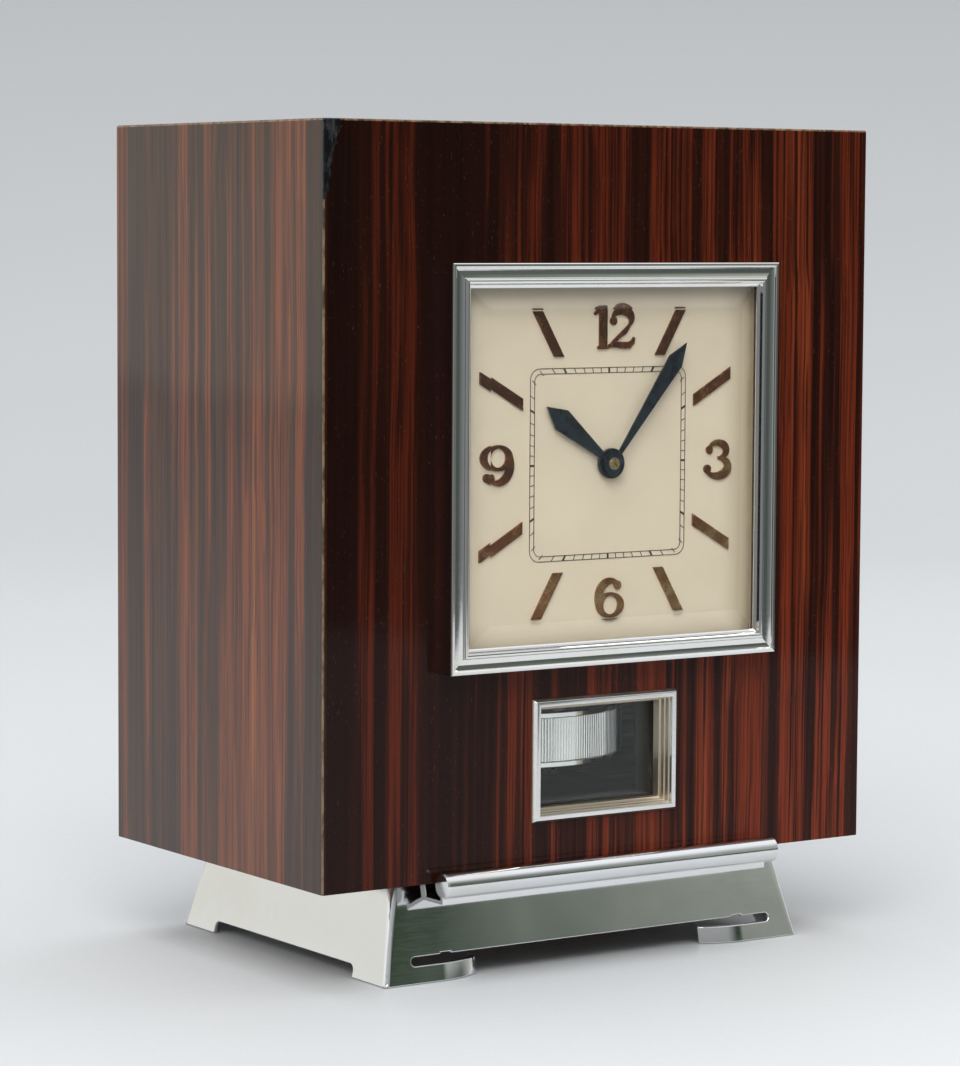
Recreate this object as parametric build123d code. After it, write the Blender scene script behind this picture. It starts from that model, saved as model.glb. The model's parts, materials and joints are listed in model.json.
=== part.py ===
from build123d import *
import math
import os

# Mantel clock: veneered box on a plated sheet-metal base, square dial, torsion balance behind a window.
# Millimetres. Origin: centre of the footprint on the standing plane. X right, Y to the back, Z up.

# ---- driving dimensions -------------------------------------------------------------------------
CASE_W = 206.0            # width of the wooden case
CASE_D = 127.0            # depth of the wooden case
CASE_H = 230.0            # height of the wooden case
BASE_H = 31.0             # height of the metal base
WALL = 10.0               # thickness of the case panels
FOOT_W, FOOT_D = 159.0, 123.0     # base outline where it stands
NECK_W, NECK_D = 145.0, 109.0     # base outline under the case
SHEET = 1.5               # base sheet thickness
DIAL_Z = 156.7            # height of the dial centre
BEZEL = 62.0              # half width of the bezel
SIGHT = 54.4              # half width of the bezel opening
WINDOW_Z = 65.4           # height of the window centre
BAR_R, BAR_LEN = 4.0, 127.0       # round bar on the base
RING_R = 43.0             # balance ring radius
RUN = 0.05                # radial running clearance
MINUTE_AT = 37.0          # degrees from twelve, clockwise
HOUR_AT = 306.5

FRONT = -CASE_D / 2
BACK = CASE_D / 2
FLOOR = BASE_H            # underside of the case
TOP = BASE_H + CASE_H
IN_W = CASE_W / 2 - WALL  # inner half width
IN_FRONT = FRONT + WALL
SLOPE = (FOOT_W - NECK_W) / 2 / BASE_H

os.makedirs("parts", exist_ok=True)


# ---- helpers ------------------------------------------------------------------------------------
def save(name, shape):
    shape.label = name
    export_step(shape, "parts/" + name + ".step")


def block(x0, x1, y0, y1, z0, z1):
    solid = Box(x1 - x0, y1 - y0, z1 - z0)
    return Pos((x0 + x1) / 2, (y0 + y1) / 2, (z0 + z1) / 2) * solid


def rod_y(x, z, r, y0, y1):
    return Pos(x, (y0 + y1) / 2, z) * Rot(90, 0, 0) * Cylinder(r, y1 - y0)


def rod_z(x, y, r, z0, z1):
    return Pos(x, y, (z0 + z1) / 2) * Cylinder(r, z1 - z0)


def rod_x(y, z, r, x0, x1):
    return Pos((x0 + x1) / 2, y, z) * Rot(0, 90, 0) * Cylinder(r, x1 - x0)


def tube_y(x, z, r_out, r_in, y0, y1):
    return rod_y(x, z, r_out, y0, y1) - rod_y(x, z, r_in, y0 - 1, y1 + 1)


def plate_y(points, y0, y1):
    """Flat plate from (x, z) points, lying between two depths."""
    lifted = [Vector(x, y1, z) for x, z in points]
    face = make_face(Polyline(*lifted, close=True))
    return extrude(face, amount=y1 - y0, dir=(0, -1, 0))


def sheet_z(points, z0, z1):
    """Flat plate from (x, y) points, lying between two heights."""
    lifted = [Vector(x, y, z0) for x, y in points]
    face = make_face(Polyline(*lifted, close=True))
    return extrude(face, amount=z1 - z0, dir=(0, 0, 1))


def hull_between(first, second):
    """Ruled solid between two outlines with the same number of points."""
    faces = [make_face(Polyline(*[Vector(*p) for p in ring], close=True)) for ring in (first, second)]
    return loft(faces, ruled=True)


def step_frame(levels, half_w, half_h, centre_z):
    """Stack of ruled slices: each level is (reach, inset); insets shrink both half sizes."""
    solid = None
    for (p0, s0), (p1, s1) in zip(levels[:-1], levels[1:]):
        rings = []
        for p, s in ((p0, s0), (p1, s1)):
            w = half_w - s
            h = half_h - s
            corners = ((-w, -h), (w, -h), (w, h), (-w, h))
            rings.append([(a, FRONT - p, centre_z + b) for a, b in corners])
        slice_ = hull_between(rings[0], rings[1])
        solid = slice_ if solid is None else solid + slice_
    return solid


def mitred_frame(section, half_w, half_h, centre_z):
    """Frame with mitred corners; the section is a closed list of (inset from the outer edge, reach) points."""
    depth = max(inset for inset, _ in section) + 1
    frame = None
    for sign in (1, -1):
        flat = [Vector(-half_w, FRONT - reach, centre_z + sign * (half_h - inset)) for inset, reach in section]
        rail_bar = extrude(make_face(Polyline(*flat, close=True)), amount=2 * half_w, dir=(1, 0, 0))
        mitre = [(-half_w, half_h), (half_w, half_h), (half_w - depth, half_h - depth), (depth - half_w, half_h - depth)]
        rail_bar = rail_bar & plate_y([(x, centre_z + sign * z) for x, z in mitre], FRONT - 20, FRONT + 40)
        flat = [Vector(sign * (half_w - inset), FRONT - reach, centre_z - half_h) for inset, reach in section]
        stile = extrude(make_face(Polyline(*flat, close=True)), amount=2 * half_h, dir=(0, 0, 1))
        mitre = [(half_w, -half_h), (half_w, half_h), (half_w - depth, half_h - depth), (half_w - depth, depth - half_h)]
        stile = stile & plate_y([(sign * x, centre_z + z) for x, z in mitre], FRONT - 20, FRONT + 40)
        frame = rail_bar + stile if frame is None else frame + rail_bar + stile
    return frame


# ---- gear outlines ------------------------------------------------------------------------------
def gear_points(teeth, module, phase, backlash=0.12, addendum=0.75, dedendum=1.1):
    """Involute outline; phase is the angle in degrees of one tooth centre."""
    pitch_r = teeth * module / 2
    base_r = pitch_r * math.cos(math.radians(20))
    tip_r = pitch_r + addendum * module
    root_r = pitch_r - dedendum * module

    def half_angle(r):
        pressure = math.acos(min(1.0, base_r / r))
        roll = math.tan(pressure) - pressure
        at_pitch = math.tan(math.radians(20)) - math.radians(20)
        return (math.pi / 2 / teeth) * (1 - backlash) + at_pitch - roll

    start = max(base_r, root_r)
    flank = [start + (tip_r - start) * k / 4 for k in range(5)]
    points = []
    for tooth in range(teeth):
        centre = math.radians(phase) + 2 * math.pi * tooth / teeth
        side = [(root_r, half_angle(start))] if root_r < start - 0.01 else []
        side += [(r, half_angle(r)) for r in flank]
        for r, a in side:
            points.append((r * math.cos(centre - a), r * math.sin(centre - a)))
        for r, a in reversed(side):
            points.append((r * math.cos(centre + a), r * math.sin(centre + a)))
    return points


def gear(teeth, module, phase, x, z, y0, y1, bore=0.0):
    points = [(x + a, z + b) for a, b in gear_points(teeth, module, phase)]
    solid = plate_y(points, y0, y1)
    if bore:
        solid = solid - rod_y(x, z, bore, y0 - 1, y1 + 1)
    return solid


def next_phase(phase, teeth, direction, other_teeth):
    """Tooth angle of the second wheel so a gap meets the first wheel's tooth."""
    fraction = (direction - phase) / (360 / teeth)
    return direction + 180 + (fraction - 0.5) * 360 / other_teeth


def spokes(solid, x, z, y0, y1, r_hub, r_rim, count, width):
    """Cut the web of a wheel, leaving straight spokes."""
    web = tube_y(x, z, r_rim, r_hub, y0 - 1, y1 + 1)
    for k in range(count):
        turn = Pos(x, (y0 + y1) / 2, z) * Rot(0, 360 * k / count, 0)
        web -= turn * Pos(0, 0, r_rim) * Box(width, y1 - y0 + 4, 2 * r_rim)
    return solid - web


# ---- wooden case --------------------------------------------------------------------------------
def eased(solid):
    body = block(-CASE_W / 2, CASE_W / 2, FRONT, BACK, FLOOR, TOP)
    keep = body.edges().filter_by(Axis.X).sort_by(Axis.Z)[-2:]
    keep += body.edges().filter_by(Axis.Z)
    keep += body.edges().filter_by(Axis.Y).sort_by(Axis.Z)[-2:]
    body = fillet(keep, 0.7)
    return solid & body


def panel_front():
    w, t = CASE_W / 2, IN_W
    outer = [(-w, FRONT, FLOOR), (w, FRONT, FLOOR), (w, FRONT, TOP), (-w, FRONT, TOP)]
    inner = [(-t, IN_FRONT, FLOOR), (t, IN_FRONT, FLOOR), (t, IN_FRONT, TOP - WALL), (-t, IN_FRONT, TOP - WALL)]
    solid = eased(hull_between(outer, inner))
    solid -= block(-58, 58, FRONT - 1, IN_FRONT + 1, DIAL_Z - 58, DIAL_Z + 58)
    solid -= block(-26.6, 26.6, FRONT - 1, IN_FRONT + 1, WINDOW_Z - 18.2, WINDOW_Z + 18.2)
    return solid


def panel_side(sign):
    w, t = sign * CASE_W / 2, sign * IN_W
    outer = [(w, FRONT, FLOOR), (w, BACK, FLOOR), (w, BACK, TOP), (w, FRONT, TOP)]
    inner = [(t, IN_FRONT, FLOOR), (t, BACK, FLOOR), (t, BACK, TOP - WALL), (t, IN_FRONT, TOP - WALL)]
    return eased(hull_between(outer, inner))


def panel_top():
    w, t = CASE_W / 2, IN_W
    outer = [(-w, FRONT, TOP), (w, FRONT, TOP), (w, BACK, TOP), (-w, BACK, TOP)]
    inner = [(-t, IN_FRONT, TOP - WALL), (t, IN_FRONT, TOP - WALL), (t, BACK, TOP - WALL), (-t, BACK, TOP - WALL)]
    return eased(hull_between(outer, inner))


save("case_front_panel", panel_front())
save("case_left_side", panel_side(-1))
save("case_right_side", panel_side(1))
save("case_top_panel", panel_top())

FRAME_Y0, FRAME_Y1 = 47.5, 55.5
BOARD_TOP = FLOOR + WALL
save("case_bottom_board", block(-IN_W, IN_W, IN_FRONT, FRAME_Y1, FLOOR, BOARD_TOP))

blocks = Part()
for sx in (-1, 1):
    corner = sheet_z([(sx * IN_W, IN_FRONT), (sx * (IN_W - 9), IN_FRONT), (sx * IN_W, IN_FRONT + 9)], 60, 230)
    blocks += corner
save("corner_blocks", blocks)

back_frame = block(-IN_W, IN_W, FRAME_Y0, FRAME_Y1, BOARD_TOP, TOP - WALL)
back_frame -= block(-IN_W + 8, IN_W - 8, 40, 60, BOARD_TOP + 8, TOP - WALL - 8)
save("back_frame", back_frame)

# ---- back door, hinges and turn latch --------------------------------------------------------------
DOOR_Y0, DOOR_Y1 = 56.0, BACK
DOOR_X = IN_W - 0.7
DOOR_Z0, DOOR_Z1 = FLOOR + 0.7, TOP - WALL - 0.7
LATCH_X, LATCH_Z = 78.0, 146.0
door = block(-DOOR_X, DOOR_X, DOOR_Y0, DOOR_Y1, DOOR_Z0, DOOR_Z1)
for k in range(-4, 5):
    for z in (82.0, 214.0):
        slot = block(14 * k - 1.6, 14 * k + 1.6, 50, 70, z - 17, z + 17)
        slot = fillet(slot.edges().filter_by(Axis.Y), 1.5)
        door -= slot
door -= rod_y(LATCH_X, LATCH_Z, 2.5 + RUN, 50, 70)
save("back_door", door)

HINGE_X, HINGE_Y = -(IN_W - 0.35), BACK + 2.0
HINGE_ZS = (76.0, 216.0)
case_leaves = Part()
door_leaves = Part()
pins = Part()
for z in HINGE_ZS:
    lo, hi = z - 15, z + 15
    a, b = z - 5, z + 5
    case_plate = block(-101.5, HINGE_X - 2.4, BACK, BACK + 1, lo, hi)
    knuckle = rod_z(HINGE_X, HINGE_Y, 2.0, lo, a - 0.15) + rod_z(HINGE_X, HINGE_Y, 2.0, b + 0.15, hi)
    tabs = block(HINGE_X - 3, HINGE_X - 0.4, BACK, BACK + 1, lo, a - 0.15)
    tabs += block(HINGE_X - 3, HINGE_X - 0.4, BACK, BACK + 1, b + 0.15, hi)
    case_leaves += case_plate + knuckle + tabs - rod_z(HINGE_X, HINGE_Y, 1.0, lo - 1, hi + 1)
    door_plate = block(HINGE_X + 2.4, -84.0, BACK, BACK + 1, lo, hi)
    door_plate += block(HINGE_X + 0.4, HINGE_X + 3, BACK, BACK + 1, a + 0.15, b - 0.15)
    door_plate += rod_z(HINGE_X, HINGE_Y, 2.0, a + 0.15, b - 0.15)
    door_leaves += door_plate - rod_z(HINGE_X, HINGE_Y, 1.0 + RUN, lo - 1, hi + 1)
    pins += rod_z(HINGE_X, HINGE_Y, 1.0, lo, hi)
save("hinge_case_leaves", case_leaves)
save("hinge_door_leaves", door_leaves)
save("hinge_pins", pins)

latch = rod_y(LATCH_X, LATCH_Z, 2.5, 45.0, 64.0)
latch += rod_y(LATCH_X, LATCH_Z, 6.0, 64.0, 66.0)
latch += block(LATCH_X - 1.6, LATCH_X + 1.6, 65.9, 72.1, LATCH_Z - 8.5, LATCH_Z + 8.5)
latch += block(LATCH_X - 2.2, LATCH_X + 2.2, 45.0, 47.1, LATCH_Z - 12, LATCH_Z)
save("door_latch", latch)

# ---- metal base ----------------------------------------------------------------------------------
def frustum(foot_w, foot_d, z0, z1, inset):
    rings = []
    for z in (z0, z1):
        w = foot_w / 2 - SLOPE * z - inset
        d = foot_d / 2 - SLOPE * z - inset
        rings.append([(-w, -d, z), (w, -d, z), (w, d, z), (-w, d, z)])
    return hull_between(rings[0], rings[1])


SLIT_LOW, SLIT_HIGH, SLIT_END = 5.4, 8.0, 69.0
CURL_FROM, CURL_TO, CURL_R = 58.0, 43.0, 27.0
shell = frustum(FOOT_W, FOOT_D, 0, BASE_H, 0)
upright = [e for e in shell.edges() if abs(e.tangent_at(0.5).Z) > 0.5]
shell = fillet(upright, 1.6)
cavity = frustum(FOOT_W, FOOT_D, -1, BASE_H - SHEET, SHEET)
shell -= cavity
shell -= block(-62, 62, -44, 44, BASE_H - 5, BASE_H + 1)
side_slot = block(-90, 90, -42.1, 42.1, -5, 3.9)
side_slot = fillet(side_slot.edges().filter_by(Axis.X).sort_by(Axis.Z)[-2:], 2.2)
shell -= side_slot
shell -= block(-CURL_FROM, CURL_FROM, -70, 70, -1, SLIT_HIGH)
for sx in (-1, 1):
    x0, x1 = sorted((sx * (CURL_FROM - 1), sx * (SLIT_END - 1.3)))
    shell -= block(x0, x1, -70, 70, SLIT_LOW, SLIT_HIGH)
    shell -= rod_y(sx * (SLIT_END - 1.3), (SLIT_LOW + SLIT_HIGH) / 2, (SLIT_HIGH - SLIT_LOW) / 2, -70, 70)
    x0, x1 = sorted((sx * (CURL_FROM - 3.5), sx * (CURL_FROM + 0.1)))
    shell -= block(x0, x1, -70, 70, SLIT_HIGH - 0.1, SLIT_HIGH + 0.5)


def curled_foot(sx, sy):
    """Foot strip that bends inward from the front or back wall."""
    reach = CURL_FROM - CURL_TO
    outer = []
    inner = []
    for k in range(9):
        along = reach * k / 8
        rise = CURL_R - math.sqrt(CURL_R ** 2 - along ** 2)
        tilt = math.asin(along / CURL_R)
        outer.append((CURL_FROM - along, FOOT_D / 2 - rise))
        inner.append((CURL_FROM - along + SHEET * math.sin(tilt), FOOT_D / 2 - rise - SHEET * math.cos(tilt)))
    start = [(CURL_FROM + 2.0, FOOT_D / 2), (CURL_FROM + 2.0, FOOT_D / 2 - SHEET)]
    ring = [start[0]] + outer + inner[::-1] + [start[1]]
    face = make_face(Polyline(*[Vector(sx * x, sy * y, 0) for x, y in ring], close=True))
    lean = Vector(0, -sy * SLOPE, 1)
    return extrude(face, amount=SLIT_LOW * lean.length, dir=lean.normalized())


for sx in (-1, 1):
    for sy in (-1, 1):
        shell += curled_foot(sx, sy)
SCREW_XY = [(sx * 66.5, sy * 34.0) for sx in (-1, 1) for sy in (-1, 1)]
for x, y in SCREW_XY:
    shell -= rod_z(x, y, 1.6, 20, 35)
save("base_shell", shell)

screws = Part()
for x, y in SCREW_XY:
    screws += rod_z(x, y, 1.4, BASE_H - SHEET, FLOOR)
    screws += rod_z(x, y, 2.9, BASE_H - SHEET - 1.6, BASE_H - SHEET)
save("base_screws", screws)

# ---- round bar and its rail -----------------------------------------------------------------------
BAR_Y, BAR_Z = FRONT - 4.6, 30.7
RAIL_HALF = 62.0


def wall_y(z):
    return -FOOT_D / 2 + SLOPE * z


RAIL_LOW, RAIL_SHELF, RAIL_TOP = 24.4, 25.9, 30.0
LIP_FRONT, LIP_BACK = -66.5, -64.9
rail_section = [
    (wall_y(RAIL_LOW), RAIL_LOW), (LIP_FRONT, RAIL_LOW), (LIP_FRONT, 29.5), (LIP_BACK, 29.5),
    (LIP_BACK, RAIL_SHELF), (wall_y(RAIL_SHELF) - SHEET, RAIL_SHELF),
    (wall_y(RAIL_TOP) - SHEET, RAIL_TOP), (wall_y(RAIL_TOP), RAIL_TOP),
]
rail_face = make_face(Polyline(*[Vector(-RAIL_HALF, y, z) for y, z in rail_section], close=True))
rail = extrude(rail_face, amount=2 * RAIL_HALF, dir=(1, 0, 0))
rail -= rod_x(BAR_Y, BAR_Z, BAR_R + 0.02, -80, 80)
save("bar_rail", rail)

bar = rod_x(BAR_Y, BAR_Z, BAR_R, -BAR_LEN / 2, BAR_LEN / 2)
bar = chamfer(bar.edges().filter_by(GeomType.CIRCLE), 0.5)
save("front_bar", bar)

rivets = Part()
for x in (-45.0, 0.0, 45.0):
    y = wall_y(27.0)
    rivets += rod_y(x, 27.0, 2.0, y + SHEET + 0.6, y + SHEET + 2.0)
save("rail_rivets", rivets)

# ---- bezel, glass and dial ------------------------------------------------------------------------
REBATE = 56.2             # half width of the glass rebate
SPIGOT = 57.6             # half width of the part that enters the case
cove = [(1.6 + 2.9 * k / 8, 6.35 - 0.15 * math.sin(math.pi * k / 8)) for k in range(9)]
ridge = [(5.6 - 0.9 * math.cos(math.pi * k / 8), 6.45 + 0.7 * math.sin(math.pi * k / 8)) for k in range(9)]
bezel_section = [(0, 0), (0, 6.5), (0.12, 6.85), (0.4, 7.05), (1.05, 7.1), (1.35, 6.9), (1.5, 6.5)] + cove + ridge
bezel_section += [(6.55, 6.2), (6.7, 5.75), (7.2, 5.5), (BEZEL - SIGHT, 5.2), (BEZEL - SIGHT, 4.8)]
bezel_section += [(BEZEL - REBATE, 4.8), (BEZEL - REBATE, -7.5)]
bezel_section += [(BEZEL - SPIGOT, -7.5), (BEZEL - SPIGOT, 0)]
bezel = mitred_frame(bezel_section, BEZEL, BEZEL, DIAL_Z)
save("bezel_frame", bezel)

glass = step_frame([(4.0, 0), (4.3, 0)], 56.0, 56.0, DIAL_Z)
glass += step_frame([(4.3, 0), (6.3, 8.3)], 56.0, 56.0, DIAL_Z)
save("bezel_glass", glass)

retainer = step_frame([(3.0, 0), (3.9, 0)], 56.1, 56.1, DIAL_Z)
retainer -= step_frame([(2, 0), (5, 0)], SIGHT + 0.3, SIGHT + 0.3, DIAL_Z)
save("glass_retainer", retainer)

DIAL_FRONT = FRONT        # dial surface lies level with the case front
dial = block(-56, 56, DIAL_FRONT, DIAL_FRONT + 1.2, DIAL_Z - 56, DIAL_Z + 56)
dial -= rod_y(0, DIAL_Z, 3.2, DIAL_FRONT - 1, DIAL_FRONT + 3)
save("dial_plate", dial)

INK = 0.12                # thickness of the printed track


def ink(points):
    return plate_y([(x, DIAL_Z + z) for x, z in points], DIAL_FRONT - INK, DIAL_FRONT)


def rounded_line(half, radius, width):
    outer = RectangleRounded(2 * half, 2 * half, radius)
    inner = RectangleRounded(2 * (half - width), 2 * (half - width), radius - width)
    face = Plane((0, DIAL_FRONT, DIAL_Z), x_dir=(1, 0, 0), z_dir=(0, -1, 0)) * (outer - inner)
    return extrude(face, amount=INK)


TRACK_OUT, TRACK_IN = 29.7, 28.1
track = rounded_line(TRACK_OUT, 3.6, 0.2) + rounded_line(TRACK_IN, 2.4, 0.2)
for minute in range(60):
    angle = math.radians(6 * minute)
    dx, dz = math.sin(angle), math.cos(angle)
    major = max(abs(dx), abs(dz))
    near, far = (TRACK_IN - 0.1) / major, (TRACK_OUT - 0.1) / major
    if minute % 15 in (7, 8):
        near, far = near - 0.7, far - 0.9
    half = 0.32 if minute % 5 == 0 else 0.11
    nx, nz = half * dz, -half * dx
    track += ink([(near * dx + nx, near * dz + nz), (far * dx + nx, far * dz + nz),
                  (far * dx - nx, far * dz - nz), (near * dx - nx, near * dz - nz)])
save("minute_track", track)

RAISED = 0.6              # relief of numerals and hour bars
bars = Part()
for hour in (1, 2, 4, 5, 7, 8, 10, 11):
    angle = math.radians(30 * hour)
    dx, dz = math.sin(angle), math.cos(angle)
    upright_bar = abs(dz) > abs(dx)
    major = max(abs(dx), abs(dz))
    near, far = (33.2 if upright_bar else 32.6) / major, (47.2 if upright_bar else 47.0) / major
    half = 1.6 / major
    corners = []
    for reach, side in ((near, 1), (far, 1), (far, -1), (near, -1)):
        cx, cz = reach * dx, reach * dz
        corners.append((cx + side * half, cz) if upright_bar else (cx, cz + side * half))
    flat = [(x, DIAL_Z + z) for x, z in corners]
    bars += plate_y(flat, DIAL_FRONT - RAISED, DIAL_FRONT)
save("dial_batons", bars)


def band(path, widths):
    """Stroke with a changing width: outline built from the normals of a centre line."""
    left = []
    right = []
    for k, (x, z) in enumerate(path):
        xa, za = path[max(0, k - 1)]
        xb, zb = path[min(len(path) - 1, k + 1)]
        tx, tz = xb - xa, zb - za
        size = math.hypot(tx, tz)
        nx, nz = -tz / size, tx / size
        w = widths[k] / 2
        left.append((x + nx * w, z + nz * w))
        right.append((x - nx * w, z - nz * w))
    return left + right[::-1]


def arc_path(cx, cz, rx, rz, start, stop, steps):
    out = []
    for k in range(steps + 1):
        a = math.radians(start + (stop - start) * k / steps)
        out.append((cx + rx * math.cos(a), cz + rz * math.sin(a)))
    return out


def swell(count, thin, thick):
    return [thin + (thick - thin) * math.sin(math.pi * k / (count - 1)) for k in range(count)]


def stroke(path, widths, at):
    points = [(at[0] + x, DIAL_Z + at[1] + z) for x, z in band(path, widths)]
    return plate_y(points, DIAL_FRONT - RAISED, DIAL_FRONT)


def ball(x, z, r, at):
    return rod_y(at[0] + x, DIAL_Z + at[1] + z, r, DIAL_FRONT - RAISED, DIAL_FRONT)


def figure_one(at):
    solid = stroke([(0.0, -6.3), (0.0, 6.3)], [3.0, 3.0], at)
    solid += stroke([(-2.1, -5.8), (2.1, -5.8)], [0.9, 0.9], at)
    solid += stroke([(-3.4, 4.4), (-2.2, 5.4), (0.2, 5.8)], [0.8, 1.2, 0.9], at)
    return solid


def figure_two(at):
    bowl = arc_path(0.3, 2.8, 3.6, 2.8, 168, -38, 16)
    foot = [(1.6, -0.8), (-0.9, -2.6), (-3.1, -4.2), (-4.2, -5.4)]
    solid = stroke(bowl + foot, swell(len(bowl), 0.8, 3.0) + [1.6, 1.2, 1.0, 0.9], at)
    solid += ball(-3.0, 2.3, 1.3, at)
    base = [(-4.7, -5.4), (-2.6, -4.9), (0.3, -5.2), (2.9, -5.2), (4.4, -4.2), (4.9, -2.8)]
    solid += stroke(base, [1.1, 1.8, 2.1, 2.1, 1.5, 0.7], at)
    return solid


def figure_three(at):
    upper = arc_path(0.2, 2.9, 3.5, 2.5, 155, -85, 16)
    lower = arc_path(0.0, -2.2, 4.4, 2.9, 85, -152, 18)
    solid = stroke(upper, swell(len(upper), 0.8, 2.5), at)
    solid += stroke(lower, swell(len(lower), 0.8, 3.0), at)
    solid += ball(-3.0, 3.2, 1.3, at) + ball(-3.8, -2.8, 1.4, at)
    return solid


def figure_six(at):
    back = arc_path(0.7, -0.4, 4.9, 5.8, 60, 235, 20)
    ring = arc_path(0.3, -2.2, 5.3, 4.0, 0, 360, 36)[:-1]
    hole = arc_path(0.4, -2.2, 2.8, 2.9, 0, 360, 30)[:-1]
    solid = stroke(back, swell(len(back), 0.8, 2.9), at)
    outer = [(at[0] + x, DIAL_Z + at[1] + z) for x, z in ring]
    inner = [(at[0] + x, DIAL_Z + at[1] + z) for x, z in hole]
    solid += plate_y(outer, DIAL_FRONT - RAISED, DIAL_FRONT)
    solid -= plate_y(inner, DIAL_FRONT - 2, DIAL_FRONT + 1)
    solid += ball(3.1, 3.9, 1.4, at)
    return solid


def figure_nine(at):
    return Pos(2 * at[0], 0, 2 * (DIAL_Z + at[1])) * Rot(0, 180, 0) * figure_six(at)


numerals = figure_one((-2.6, 41.6)) + figure_two((4.3, 41.6)) + figure_three((42.1, -0.3))
numerals += figure_six((0.5, -42.0)) + figure_nine((-41.2, 0.6))
save("dial_numerals", numerals)

feet = Part()
for sx in (-1, 1):
    for sz in (-1, 1):
        feet += rod_y(sx * 38, DIAL_Z + sz * 38, 1.5, DIAL_FRONT + 1.2, -46.0)
save("dial_feet", feet)

# ---- balance window -------------------------------------------------------------------------------
WINDOW_W, WINDOW_H = 27.6, 19.2   # half sizes of the window frame
window_section = [
    (0, 0), (0, 0.2), (0.15, 0.6), (0.7, 1.6), (0.95, 1.8), (2.2, 1.8), (2.4, 1.6), (2.4, 0.5), (2.8, 0.3),
    (2.8, -1.3), (3.2, -1.5), (3.2, -3.1), (3.7, -3.3), (3.9, -3.6), (3.9, -6.3), (2.3, -6.3), (2.3, -9.6),
    (1.3, -9.6), (1.3, 0),
]
win = mitred_frame(window_section, WINDOW_W, WINDOW_H, WINDOW_Z)
save("window_frame", win)
pane = step_frame([(-8.3, 0), (-6.3, 0)], 25.1, 16.6, WINDOW_Z)
save("window_glass", pane)
clip = mitred_frame([(0, -8.35), (2.3, -8.35), (2.3, -15.0), (0, -15.0)], 25.2, 16.7, WINDOW_Z)
save("window_retainer", clip)

# ---- movement frame -------------------------------------------------------------------------------
CENTRE = (0.0, DIAL_Z)
BARREL = (0.0, DIAL_Z + 29.7)
ESCAPE = (0.0, DIAL_Z - 20.0)
PALLET = (0.0, ESCAPE[1] - 12.5)
STEP = 12.0 / math.sqrt(2)
MOTION = (STEP, DIAL_Z - STEP)
SETTING = (2 * STEP, DIAL_Z - 2 * STEP)
CLICK = (15.6, BARREL[1] - 9.0)
SEAT_LOW, SEAT_HIGH = 108.0, 112.0
PLATE_TOP = 218.0

chassis = block(-60, 60, -50, 46, BOARD_TOP, BOARD_TOP + 2)
chassis += rod_z(0, 0, 2.5, BOARD_TOP + 1, 49.0)
save("chassis_plate", chassis)

columns = Part()
for sx in (-1, 1):
    for y in (-36, 36):
        columns += rod_z(sx * 48, y, 3.5, BOARD_TOP + 2, SEAT_LOW)
save("movement_columns", columns)

seat = block(-56, 56, -48, 54, SEAT_LOW, SEAT_HIGH)
seat -= block(-11, 11, -16, 11, SEAT_LOW - 1, SEAT_HIGH + 1)
save("movement_seat", seat)

front_plate = block(-46, 46, -46, -44, SEAT_HIGH, PLATE_TOP)
for x, z, r in ((0, DIAL_Z, 1.5), (ESCAPE[0], ESCAPE[1], 1.0), (PALLET[0], PALLET[1], 1.0),
                (SETTING[0], SETTING[1], 1.25), (BARREL[0], BARREL[1], 2.0)):
    front_plate -= rod_y(x, z, r + RUN, -50, -40)
front_plate += rod_y(MOTION[0], MOTION[1], 1.0, -56.0, -45.0)
save("front_plate", front_plate)

back_plate = block(-46, 46, -12, -10, SEAT_HIGH, PLATE_TOP)
for x, z, r in ((0, DIAL_Z, 1.5), (ESCAPE[0], ESCAPE[1], 1.0), (PALLET[0], PALLET[1], 1.0),
                (SETTING[0], SETTING[1], 1.25), (BARREL[0], BARREL[1], 2.0)):
    back_plate -= rod_y(x, z, r + RUN, -15, -5)
back_plate += rod_y(CLICK[0], CLICK[1], 1.2, -11.0, -3.5)
save("back_plate", back_plate)

pillars = Part()
for sx in (-1, 1):
    for z in (120.0, 210.0):
        pillars += rod_y(sx * 40, z, 3.0, -44, -12)
save("plate_pillars", pillars)

bracket = block(-8, 8, -10, -8, 141, 156)
bracket += block(-5, 5, -10, 5, 150, 156)
bracket -= rod_z(0, 0, 0.4 + RUN, 140, 160)
save("suspension_bracket", bracket)

rear_post = block(-9, 9, 51.5, 54.0, SEAT_HIGH, BARREL[1] + 7)
rear_post -= rod_y(BARREL[0], BARREL[1], 2.0 + RUN, 50, 56)
save("rear_post", rear_post)

# ---- going train ----------------------------------------------------------------------------------
down = -90.0
wheel_phase = 0.0
centre_wheel = gear(64, 0.5, wheel_phase, *CENTRE, -18, -16, 1.5)
centre_wheel = spokes(centre_wheel, *CENTRE, -18, -16, 4.5, 13.2, 4, 2.2)
save("centre_wheel", centre_wheel)

pinion_phase = 0.0
arbor = rod_y(*CENTRE, 1.5, -67.3, -10.2) + gear(12, 0.55, pinion_phase, *CENTRE, -26, -21)
arbor = arbor - rod_y(*CENTRE, 0.5, -70, -65.5)
save("centre_arbor", arbor)

escape_phase = next_phase(wheel_phase, 64, down, 16)
escape_pinion = gear(16, 0.5, escape_phase, *ESCAPE, -20, -14) + rod_y(*ESCAPE, 1.0, -45.8, -10.2)
save("escape_pinion", escape_pinion)

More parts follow.
